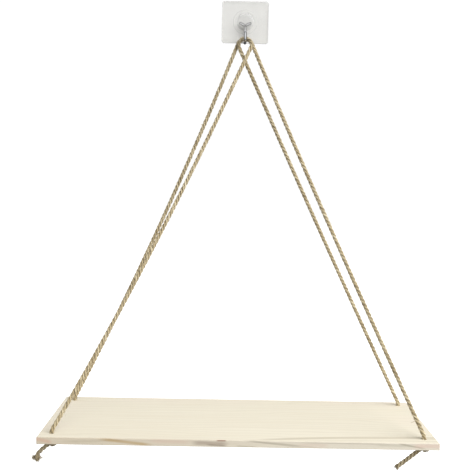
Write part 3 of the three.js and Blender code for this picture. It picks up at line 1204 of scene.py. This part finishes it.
def loose_fibre(
    place: Vector, heading: Vector, curl: Vector, size: float, radii: np.ndarray, shift: float
) -> Tube:
    """Makes one thin curling fibre.

    Args:
        place: Its root.
        heading: Its direction there.
        curl: What its direction gains at each ring.
        size: Its length.
        radii: Its radius at each ring.
        shift: Its own stretch of pattern.

    Returns:
        Its tube.
    """
    points = []
    for _ in radii:
        points.append(tuple(place))
        place = place + heading * (size / (len(radii) - 1))
        heading = (heading + curl).normalized()
    return Tube(np.array(points), radii, shift=shift)


@dataclass(frozen=True)
class Fuzz:
    """The short loose fibres that stand out of a jute rope."""

    per_metre: int = 1700
    shortest: float = 1.6 * MM
    longest: float = 6.0 * MM
    thickness: float = 0.13 * MM
    rings: int = 4

    def tubes(self, core: np.ndarray, radius: float, seed: int) -> list[Tube]:
        """Scatters fibres along a rope.

        Args:
            core: The rope's centre line, evenly spaced.
            radius: The rope's radius.
            seed: Picks the scatter.

        Returns:
            One thin tube for each fibre.
        """
        draw = random.Random(seed)
        tangents, one, two = frames(core)
        radii = np.linspace(1.0, 0.45, self.rings) * self.thickness / 2
        tubes = []
        for index in range(int(travelled(core)[-1] * self.per_metre)):
            at = draw.randrange(2, len(core) - 2)
            angle = draw.uniform(0, 2 * math.pi)
            out = Vector(one[at]) * math.cos(angle) + Vector(two[at]) * math.sin(angle)
            ahead = Vector(tangents[at]) * draw.choice((-1, 1))
            size = self.shortest + (self.longest - self.shortest) * draw.random() ** 2.6
            heading = (ahead + out * draw.uniform(0.25, 1.1)).normalized()
            curl = out.lerp(Vector((0.0, 0.0, -1.0)), draw.uniform(0.0, 0.6))
            curl = curl * draw.uniform(-0.1, 0.5)
            place = Vector(core[at]) + out * radius * 0.8
            tubes.append(loose_fibre(place, heading, curl, size, radii, index * 3 * MM))
        return tubes


@dataclass(frozen=True)
class Wisp:
    """One thicker loose yarn that stands out of a rope or a tail, in millimetres."""

    start: Place
    heading: Place
    thickness: float = 0.5
    rings: int = 9

    def tube(self, origin: np.ndarray | float = 0.0) -> Tube:
        """Makes its gently drooping tube.

        Args:
            origin: Where its own zero lies, in metres.

        Returns:
            The tube.
        """
        start, heading = Vector(self.start), Vector(self.heading)
        droop = Vector((0.0, 0.0, -0.12 * heading.length))
        shares = np.linspace(0.0, 1.0, self.rings)
        points = [tuple((start + heading * t + droop * t * t) * MM) for t in shares]
        radii = np.linspace(1.0, 0.35, self.rings) * self.thickness / 2 * MM
        return Tube(np.array(points) + origin, radii)


@dataclass(frozen=True)
class Rope:
    """One jute rope from knot to knot, with its fuzz."""

    name: str
    route: RopeRoute
    seed: int
    wisps: tuple[Wisp, ...] = ()
    lay: Lay = Lay()
    fuzz: Fuzz = Fuzz()
    tuck: float = 1.2 * MM
    bend_half_height: float = 5 * MM

    def build(self, jute: Material, ends: Sequence[Piece]) -> Piece:
        """Args:
            jute: The rope's material.
            ends: The pieces at its two ends; not used.

        Returns:
            The rope.
        """
        line = spaced(self.route.line(), self.lay.ring_spacing)
        down = np.array([0.0, 0.0, self.tuck])
        core = np.concatenate([[line[0] - down], line, [line[-1] - down]])
        strands = self.lay.tubes(core, np.full(len(core), ROPE.radius), self.seed)
        rope = sweep(self.name, strands, self.lay.resolution)
        loose = self.fuzz.tubes(line, ROPE.radius, self.seed + 40)
        fuzz = sweep(self.name + "_fuzz", loose + [wisp.tube() for wisp in self.wisps], 0)
        x, y, z = self.route.apex - [0.0, 0.0, ROPE.turn_end_drop]
        for piece in (rope, fuzz):
            dress(piece, jute)
            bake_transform(piece)
        arms = (f"rope_arm_{corner.label}" for corner in self.route.corners)
        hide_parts(f"{self.name}_turn", *arms)
        return rope


@dataclass(frozen=True)
class RopeEnd:
    """A tight overhand knot under the board, with the rope's tail and its frayed tip.

    Attributes:
        corner: The hole that it holds.
        tail: Points of the tail in millimetres from the hole's axis at the board's underside.
        turned: Angle about the hole's axis by which the knot is turned, in degrees.
        seed: Picks its unevenness.
        splay: For each strand, where its cut end lies from the rope's middle, in millimetres.
        fray: How wide the fibres fan out at the tip.
        swell: How much each strand thickens towards its cut end.
        wisps: Its thicker loose yarns, placed from the hole's axis at the board's underside.
    """

    corner: Corner
    tail: tuple[Place, ...]
    turned: float
    seed: int
    splay: tuple[Place, ...]
    fray: float = 1.0
    swell: float = 0.3
    wisps: tuple[Wisp, ...] = ()
    fray_length: float = 7 * MM
    fray_count: int = 130
    knot_share: float = 0.76
    knot_blend: float = 3 * MM
    lay: Lay = Lay(length=15 * MM, ring_spacing=0.5 * MM)
    fuzz: Fuzz = Fuzz(longest=4.0 * MM)

    # The knot's path, in millimetres from the hole's axis at the board's underside. It crosses
    # itself three times, over and under in turn, and its tail leaves towards -X.
    KNOT = (
        (0.0, 0.0, 2.5), (0.0, -0.1, 0.6), (0.5, -1.1, -0.8), (1.8, -1.4, -1.75), (2.1, 0.0, -3.1),
        (2.2, 1.4, -4.2), (2.2, 1.5, -5.4), (1.6, 0.9, -6.0), (0.7, -0.2, -5.6), (0.0, -1.3, -4.8),
        (-0.3, -1.7, -3.8), (-0.4, -1.2, -2.7), (0.0, 0.0, -1.9), (0.75, 1.2, -1.6),
        (1.8, 1.7, -1.7), (2.8, 1.3, -2.1), (3.7, 0.2, -2.75), (4.15, -0.9, -3.6),
        (3.5, -1.5, -4.2), (2.2, -1.4, -4.25), (1.1, 0.0, -4.1), (-0.3, 1.3, -3.9),
        (-1.8, 1.2, -4.0),
    )

    def build(self, origin: np.ndarray, jute: Material) -> list[Piece]:
        """Makes the knot with its tail, and the tuft of loose fibres on it.

        Args:
            origin: The hole's axis at the board's underside.
            jute: The rope's material.

        Returns:
            The knot with its tail, and the tuft.
        """
        turn = Matrix.Rotation(math.radians(self.turned), 3, "Z")
        points = [turn @ Vector(p) for p in self.KNOT] + [Vector(p) for p in self.tail]
        core = spaced(smoothed(points) * MM + origin, self.lay.ring_spacing)
        left = travelled(core)[-1] - travelled(core)
        tail_length = travelled(np.array(self.tail))[-1] * MM
        in_knot = np.clip((left - tail_length) / self.knot_blend, 0, 1)
        opening = np.clip(1 - left / self.fray_length, 0, 1) ** 1.5
        tip = np.sqrt(np.clip(left / MM, 0, 1))
        tubes = self.lay.tubes(core, ROPE.radius * (1 - (1 - self.knot_share) * in_knot), self.seed)
        for tube, away in zip(tubes, self.splay):
            tube.points = tube.points + opening[:, None] * np.array(away) * MM
            tube.radii = tube.radii * (1 + self.swell * opening) * (0.6 + 0.4 * tip)
        label = self.corner.label
        body = sweep(f"rope_end_{label}", tubes, self.lay.resolution)
        loose = self._tuft(tubes)
        loose += self.fuzz.tubes(core, ROPE.radius * self.knot_share, self.seed + 90)
        tuft = sweep(f"tuft_{label}", loose + [wisp.tube(origin) for wisp in self.wisps], 0)
        for piece in (body, tuft):
            dress(piece, jute)
            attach(piece, "shelf")
        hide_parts(f"knot_{label}", f"tail_{label}")
        return [body, tuft]

    def _tuft(self, strands: Sequence[Tube]) -> list[Tube]:
        """Makes the fibres that fan out of the cut strands.

        Args:
            strands: The strands.

        Returns:
            One thin tube for each fibre.
        """
        draw = random.Random(self.seed + 300)
        tubes = []
        for strand in strands:
            ahead = Vector(strand.points[-1] - strand.points[-5]).normalized()
            for index in range(self.fray_count):
                wild = Vector([draw.gauss(0, 1) for _ in range(3)]).normalized()
                back = draw.randint(2, 8)
                place = Vector(strand.points[-back]) + wild * float(strand.radii[-back]) * 0.8
                heading = (ahead + wild * 0.75 * self.fray).normalized()
                curl = wild * 0.2 + Vector((0, 0, -0.12))
                size = draw.uniform(1.2, 3.4) * MM * (0.5 + 0.5 * self.fray)
                radii = np.linspace(1.0, 0.5, self.fuzz.rings) * draw.uniform(0.08, 0.15) * MM
                tubes.append(loose_fibre(place, heading, curl, size, radii, index * 5 * MM))
        return tubes


# Board


@dataclass(frozen=True)
class Board:
    """The wooden board with its four holes and softly eased edges."""

    edge_ease: float = 0.7 * MM
    hole_ease: float = 0.35 * MM
    sharp_angle: float = math.radians(50)
    margin: float = 0.01 * MM

    def build(self) -> Piece:
        """Makes the board from the frame's own board, merged and eased."""
        low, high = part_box("board")
        shape = bmesh.new()
        shape.from_mesh(bpy.data.objects["board"].data)
        bmesh.ops.remove_doubles(shape, verts=shape.verts, dist=0.001 * MM)
        bmesh.ops.dissolve_limit(
            shape, angle_limit=math.radians(1), verts=shape.verts, edges=shape.edges
        )
        for outside, by, segments in ((False, self.hole_ease, 2), (True, self.edge_ease, 4)):
            edges = [
                e
                for e in shape.edges
                if e.calc_face_angle(0.0) > self.sharp_angle
                and all(self._outside(v.co, low, high) for v in e.verts) == outside
            ]
            ease(shape, edges, by, segments)
        board = finish_mesh("shelf_board", shape, 35.0)
        finish = WoodFinish(high.x / MM, (high.y - low.y) / MM, high.z / MM)
        dress(board, finish.material())
        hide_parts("board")
        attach(board, "shelf")
        return board

    def _outside(self, place: Vector, low: Vector, high: Vector) -> bool:
        """Whether a corner lies on the board's outer sides, away from its holes."""
        gaps = (place.x - low.x, high.x - place.x, place.y - low.y, high.y - place.y)
        return min(gaps) < self.margin


# Wall hook


@dataclass(frozen=True)
class WallHook:
    """The clear plate with its seat, the clear cap and the bent wire, on their adhesive film."""

    sizes: HookSizes = HOOK
    round_segments: int = 96
    border: float = 2.0 * MM
    border_slope: float = 0.3 * MM
    pressed: float = 0.18 * MM
    front_ease: float = 0.45 * MM
    seat_ease: float = 0.3 * MM
    hairline: float = 0.04 * MM
    wire_step: float = 0.15 * MM
    wire_resolution: int = 10

    def build(self) -> None:
        """Makes and dresses the wall hook's pieces."""
        dress(bpy.data.objects["adhesive_film"], FilmFinish().material())
        pieces = (
            (self.plate(), "hook_plate", PlateFinish(), Slot.CLEAR),
            (self.cap(), "hook_cap", CapFinish(), Slot.CLEAR),
            (self.wire(), "steel_hook", SteelFinish(), Slot.STEEL),
        )
        for piece, node, finish, slot in pieces:
            dress(piece, finish.material())
            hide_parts(node)
            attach(piece, "wall_hook")

    def plate(self) -> Piece:
        """The moulded plate with rounded corners, an eased front and its raised round seat."""
        s = self.sizes
        shape = bmesh.new()
        x, z = s.plate_width / 2, s.plate_height / 2
        add_box(shape, (-x, s.plate_front, -z), (x, -s.film_thickness - self.hairline, z))
        deep = s.plate_thickness / 2
        corners = [e for e in shape.edges if abs(e.verts[0].co.y - e.verts[1].co.y) > deep]
        ease(shape, corners, s.plate_corner, 8)
        near = s.plate_front + 0.01 * MM
        front = [e for e in shape.edges if all(v.co.y < near for v in e.verts)]
        ease(shape, front, self.front_ease, 3)
        face = max(shape.faces, key=lambda f: -f.normal.y * f.calc_area())
        for width, depth in ((self.border, 0.0), (self.border_slope, -self.pressed)):
            bmesh.ops.inset_region(
                shape, faces=[face], thickness=width, depth=depth, use_even_offset=True
            )
        sunk = face.verts[0].co.y
        outline = list(face.edges)
        bmesh.ops.delete(shape, geom=[face], context="FACES_ONLY")
        circle = bmesh.ops.create_circle(
            shape,
            cap_ends=False,
            segments=self.round_segments,
            radius=s.seat_radius,
            matrix=Matrix.Translation((0.0, sunk, 0.0)) @ Matrix.Rotation(math.pi / 2, 4, "X"),
        )
        foot = list({e for v in circle["verts"] for e in v.link_edges})
        bmesh.ops.triangle_fill(shape, use_beauty=True, edges=outline + foot)
        raised = bmesh.ops.extrude_edge_only(shape, edges=foot)["geom"]
        rim_points = [v for v in raised if isinstance(v, bmesh.types.BMVert)]
        bmesh.ops.translate(shape, verts=rim_points, vec=(0.0, s.seat_front - sunk, 0.0))
        rim = [e for e in raised if isinstance(e, bmesh.types.BMEdge)]
        bmesh.ops.contextual_create(shape, geom=rim)
        bmesh.ops.recalc_face_normals(shape, faces=shape.faces)
        ease(shape, rim, self.seat_ease, 3)
        return finish_mesh("clear_plate", shape)

    def cap(self) -> Piece:
        """The domed cap: a thin cup with a slot at the bottom where the wire comes out.

        It is so clear that it casts no shadow.
        """
        s = self.sizes
        room = 2 * (s.wire_radius + s.rest_gap)
        inner = self._dome(s.cap_radius - s.cap_wall, room, s.cap_shoulder - s.cap_wall)
        outer = self._dome(s.cap_radius, room + s.cap_wall, s.cap_shoulder)
        shape = bmesh.new()
        foot = s.seat_front - self.hairline
        chain = [shape.verts.new((r, foot - y, 0.0)) for r, y in [*inner, *reversed(outer)]]
        edges = [shape.edges.new(pair) for pair in zip(chain, chain[1:])]
        bmesh.ops.spin(
            shape,
            geom=[*chain, *edges],
            axis=(0, 1, 0),
            cent=(0, 0, 0),
            angle=2 * math.pi,
            steps=self.round_segments,
            use_merge=True,
        )
        bmesh.ops.remove_doubles(shape, verts=shape.verts, dist=0.001 * MM)
        bmesh.ops.recalc_face_normals(shape, faces=shape.faces)
        cup = finish_mesh("cap_cup", shape)
        cutter = bmesh.new()
        drop = -s.cap_radius * 1.5
        add_box(cutter, (-room / 2, s.seat_front - room, drop), (room / 2, s.film_thickness, 0.0))
        slot = finish_mesh("cap_slot", cutter)
        cut = cup.modifiers.new("slot", "BOOLEAN")
        cut.operation = "DIFFERENCE"
        cut.solver = "EXACT"
        cut.object = slot
        cap = shaded(link("clear_cap", applied(cup, "clear_cap")))
        bpy.data.objects.remove(slot)
        cap.visible_shadow = False
        return cap

    @staticmethod
    def _dome(
        radius: float, height: float, shoulder: float, steps: int = 12
    ) -> list[tuple[float, float]]:
        """Draws the outline of a dome from its centre to its rim.

        Args:
            radius: The dome's radius.
            height: Its height above the seat.
            shoulder: The radius of its rounded shoulder.
            steps: How many stretches the shoulder has.

        Returns:
            The radius and the height above the seat of each point.
        """
        angles = np.linspace(0, math.pi / 2, steps + 1)
        radii = radius - shoulder + shoulder * np.sin(angles)
        return [
            (0.0, height),
            *zip(radii, height - shoulder + shoulder * np.cos(angles)),
            (radius, 0.0),
        ]

    def wire(self) -> Piece:
        """The bent wire: shank, J and rounded tip, and the two head arms under the cap."""
        s = self.sizes
        run_z = -s.run_drop
        run_start = s.shank_y - s.bend_radius
        run_end = s.rope_y(crossed=True) - ROPE.radius - s.run_side_room
        line = np.array(
            [
                (0.0, s.shank_y, -s.neck_drop),
                *self._bend(run_start, run_z + s.bend_radius, 0.0),
                *self._bend(run_end, run_z + s.bend_radius, -math.pi / 2),
                (0.0, run_end - s.bend_radius, run_z + s.tip_rise),
            ]
        )
        tubes = [self._rounded(line)]
        for side in (-1, 1):
            end = np.array([side * s.head_reach, s.shank_y, s.head_arm_rise - s.neck_drop])
            ahead = end - line[0]
            beyond = end + ahead / np.linalg.norm(ahead) * s.wire_radius
            tubes.append(self._rounded(np.array([line[0], beyond])))
        return sweep("wire_hook", tubes, self.wire_resolution)

    def _bend(self, y: float, z: float, start: float, steps: int = 14) -> list[Place]:
        """Draws a quarter bend of the wire.

        Args:
            y: Y of its centre.
            z: Z of its centre.
            start: The angle about the centre at which it starts.
            steps: How many stretches it has.

        Returns:
            Its points.
        """
        radius = self.sizes.bend_radius
        angles = [start - step / steps * math.pi / 2 for step in range(steps + 1)]
        return [(0.0, y + radius * math.cos(a), z + radius * math.sin(a)) for a in angles]

    def _rounded(self, points: np.ndarray) -> Tube:
        """Makes a wire of full thickness whose two ends are round.

        Args:
            points: Its centre line.

        Returns:
            Its tube.
        """
        radius = self.sizes.wire_radius
        line = spaced(points, self.wire_step)
        along = travelled(line)
        cut = np.clip(1 - np.minimum(along, along[-1] - along) / radius, 0, 1)
        return Tube(line, radius * np.sqrt(np.clip(1 - cut ** 2, 0.0004, 1)))


# Studio


@dataclass(frozen=True)
class Studio:
    """Plain pale floor, soft light from above, and the camera at the photograph's angle."""

    floor_z: float = -1.35
    floor_size: float = 40.0
    image_side: int = 470
    focal_pixels: float = 703.6
    sensor: float = 36.0
    camera_place: Place = (-0.0206, -0.9143, -0.2056)
    yaw: float = 0.0147
    pitch: float = 0.0721
    roll: float = 0.0217
    sky: float = 0.52
    seen_sky: float = 1.05
    mirrored_front: float = 1.0
    mirrored_side: float = 0.10
    softbox_side: float = 3.8
    softbox_power: float = 156.0
    softbox_place: Place = (1.92, -1.65, 1.56)
    softbox_aim: Place = (0.0, -0.07, -0.3)

    def build(self) -> None:
        """Makes the camera, the lights and the floor."""
        self._camera()
        self._world()
        self._softbox()
        self._floor()
        settings = bpy.context.scene.view_settings
        settings.view_transform = "Standard"
        settings.look = "None"

    def _camera(self) -> None:
        """Puts the camera where the photograph's was, level along +Y but for its three turns."""
        data = bpy.data.cameras.new("camera")
        data.sensor_width = self.sensor
        data.lens = self.focal_pixels / self.image_side * self.sensor
        data.clip_start, data.clip_end = 0.01, 100.0
        camera = link("camera", data)
        turn = Matrix.Rotation(-self.yaw, 4, "Z")
        turn @= Matrix.Rotation(math.pi / 2 - self.pitch, 4, "X")
        turn @= Matrix.Rotation(self.roll, 4, "Z")
        camera.matrix_world = Matrix.Translation(self.camera_place) @ turn
        bpy.context.scene.camera = camera

    def _world(self) -> None:
        """A white surround, which gloss sees bright in front and dark at the sides."""
        world = bpy.data.worlds.new("white_surround")
        bpy.context.scene.world = world
        graph = NodeGraph(world)
        into_wall = graph.parts(graph.add("ShaderNodeTexCoord", output="Generated"))[1]
        front = into_wall.step(-0.25, -0.92)
        mirrored = front * (self.mirrored_front - self.mirrored_side) + self.mirrored_side
        seen = graph.add("ShaderNodeLightPath", output="Is Camera Ray")
        glossy = graph.add("ShaderNodeLightPath", output="Is Glossy Ray")
        strength = self.sky + seen * (self.seen_sky - self.sky) + glossy * (mirrored - self.sky)
        graph.sky((1.0, 1.0, 1.0), strength)

    def _softbox(self) -> None:
        """One large soft light from the upper right, in front."""
        data = bpy.data.lights.new("softbox", "AREA")
        data.shape = "SQUARE"
        data.size = self.softbox_side
        data.energy = self.softbox_power
        light = link("softbox", data)
        aim = Vector(self.softbox_aim) - Vector(self.softbox_place)
        light.location = self.softbox_place
        light.rotation_euler = aim.to_track_quat("-Z", "Y").to_euler()
        light.visible_glossy = False

    def _floor(self) -> None:
        """A large pale floor far below the shelf, which neither lights it nor shows in gloss."""
        shape = bmesh.new()
        place = Matrix.Translation((0.0, 0.0, self.floor_z))
        half = self.floor_size / 2
        bmesh.ops.create_grid(shape, x_segments=1, y_segments=1, size=half, matrix=place)
        floor = finish_mesh("floor", shape)
        floor.data.materials.append(FloorFinish().material())
        floor.visible_glossy = False
        floor.visible_diffuse = False


# The whole shelf

# The four rope ends, placed in millimetres from their hole's axis at the board's underside
ROPE_ENDS = (
    RopeEnd(
        Corner.FRONT_LEFT,
        ((-4.6, -0.2, -5.6), (-8.6, -1.8, -8.6), (-12.4, -2.8, -12.2), (-15.4, -3.4, -16.2),
         (-16.8, -3.8, -20.0)),
        turned=0,
        seed=11,
        splay=((-3.8, 0.4, -0.4), (0.0, -0.8, -2.0), (5.4, 0.2, -0.2)),
        swell=0.7,
        wisps=(Wisp((-10.8, -3.9, -19.0), (5.2, -0.2, 1.9), 1.0),),
    ),
    RopeEnd(
        Corner.FRONT_RIGHT,
        ((-5.4, -0.2, -4.8), (-11.8, -1.8, -9.2), (-18.6, -2.6, -14.2), (-25.4, -3.2, -19.3),
         (-31.6, -3.6, -24.0)),
        turned=0,
        seed=12,
        splay=((-0.4, 0.3, 0.4), (0.2, -0.4, -0.4), (0.3, 0.2, 0.2)),
        fray=0.3,
        wisps=(Wisp((-26.8, -3.4, -19.4), (-0.6, 0.0, 4.2), 0.8),),
    ),
    RopeEnd(
        Corner.BACK_LEFT,
        ((4.6, -1.2, -6.2), (6.4, -2.4, -11.4), (7.0, -3.2, -17.4), (7.2, -3.8, -23.2),
         (6.8, -3.9, -28.8)),
        turned=172,
        seed=13,
        splay=((-1.2, 0.4, 0.3), (0.3, -1.0, -0.6), (1.3, 0.5, 0.4)),
        fray=0.8,
    ),
    RopeEnd(
        Corner.BACK_RIGHT,
        ((4.4, -1.4, -6.0), (6.2, -2.6, -10.8), (8.2, -3.2, -15.4), (10.0, -3.6, -20.2),
         (11.4, -3.7, -25.4)),
        turned=172,
        seed=14,
        splay=((-0.8, 0.3, 0.2), (0.2, -0.7, -0.4), (0.9, 0.4, 0.3)),
        fray=0.5,
    ),
)

# Loose yarns of the outer rope, in millimetres in the frame's axes
OUTER_WISPS = (
    Wisp((203.2, -131.9, -470.6), (-7.0, -0.6, -0.9), 0.85),
    Wisp((-51.6, -13.6, -131.2), (-2.4, -1.2, 0.5), 0.9),
)


def both_ropes() -> tuple[Rope, Rope]:
    """The outer rope and the rope whose arms cross below the hook."""
    low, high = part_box("board")
    outer = RopeRoute(
        (Corner.BACK_LEFT, Corner.FRONT_RIGHT), (12 * MM, 3 * MM), 9.5 * MM, False, low, high
    )
    crossed = RopeRoute(
        (Corner.BACK_RIGHT, Corner.FRONT_LEFT), (10 * MM, 21 * MM), 8 * MM, True, low, high
    )
    return Rope("outer_rope", outer, 1, OUTER_WISPS), Rope("crossed_rope", crossed, 2)


def build_ropes() -> None:
    """Makes both ropes with their knots and tails."""
    jute = JuteFinish(board_bottom=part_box("board")[0].z).material()
    for rope in both_ropes():
        route = rope.route
        ends = []
        for rope_end in ROPE_ENDS:
            if rope_end.corner in route.corners:
                ends += rope_end.build(route.hole(rope_end.corner, route.low.z), jute)
        rope.build(jute, ends)


def main() -> None:
    """Builds the shelf's looks piece by piece."""
    logging.basicConfig(level=logging.INFO, format="%(message)s")
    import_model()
    Studio().build()
    build_ropes()
    WallHook().build()
    Board().build()


if __name__ == "__main__":
    main()
